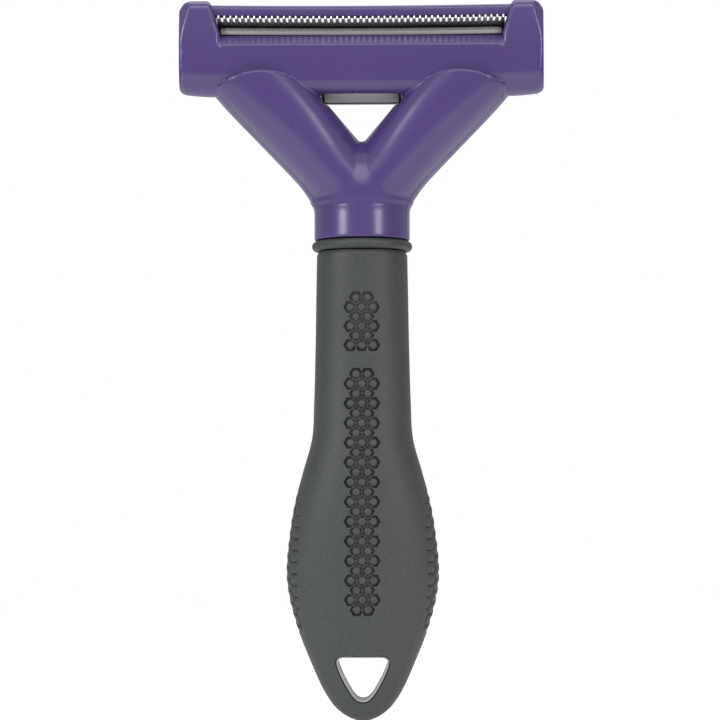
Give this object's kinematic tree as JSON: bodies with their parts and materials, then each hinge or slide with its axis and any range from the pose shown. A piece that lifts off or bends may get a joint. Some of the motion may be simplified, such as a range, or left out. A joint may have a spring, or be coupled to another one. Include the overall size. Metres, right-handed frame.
{
  "type": "deshedding tool",
  "caption": "Rake-type pet deshedding tool: steel comb blade in a forked purple head on a soft-touch grey grip with a hang hole; a sprung thumb button pushes a wiper bar along the teeth.",
  "frame": {"origin": "centre of the bounding box's bottom, under the tip of the grip", "axes": "+Z from the grip's tip up to the head, +X to the right, teeth pointing towards -Y, thumb button towards +Y"},
  "size_m": [0.0868, 0.0302, 0.1693],
  "materials": {
    "yoke_purple": "satin moulded plastic, purple",
    "blade_steel": "ground stainless steel",
    "core_plastic": "moulded grey plastic",
    "screw_zinc": "bright zinc-plated steel",
    "trim_light_grey": "satin light grey plastic",
    "ejector_dark_grey": "satin dark grey plastic",
    "grip_rubber": "soft-touch matte rubber, charcoal grey"
  },
  "bodies": {
    "tool": {"yoke_front_shell": "yoke_purple", "yoke_rear_shell": "yoke_purple", "skin_guard": "yoke_purple", "comb_blade": "blade_steel", "blade_clamp": "core_plastic", "blade_screw_1": "screw_zinc", "blade_screw_2": "screw_zinc", "blade_screw_3": "screw_zinc", "blade_screw_4": "screw_zinc", "head_screw_left": "screw_zinc", "head_screw_right": "screw_zinc", "arm_screw_left": "screw_zinc", "arm_screw_right": "screw_zinc", "collar_screw": "screw_zinc", "button_bezel": "trim_light_grey", "underside_cover": "trim_light_grey", "return_spring_left": "screw_zinc", "return_spring_right": "screw_zinc", "grip_sleeve": "grip_rubber", "handle_core": "core_plastic", "collar_ring": "grip_rubber", "hang_hole_liner": "trim_light_grey"},
    "ejector": {"ejector_bar": "ejector_dark_grey", "ejector_tongue": "ejector_dark_grey", "ejector_button": "trim_light_grey", "spring_pin_left": "screw_zinc", "spring_pin_right": "screw_zinc"}
  },
  "joints": [
    {"name": "ejector_slide", "type": "slide", "parent": "tool", "child": "ejector", "axis": [0, -0.977, 0.213], "range_m": [0, 0.0055], "stiffness_N_per_m": 400, "deforming": ["return_spring_left", "return_spring_right"]}
  ]
}
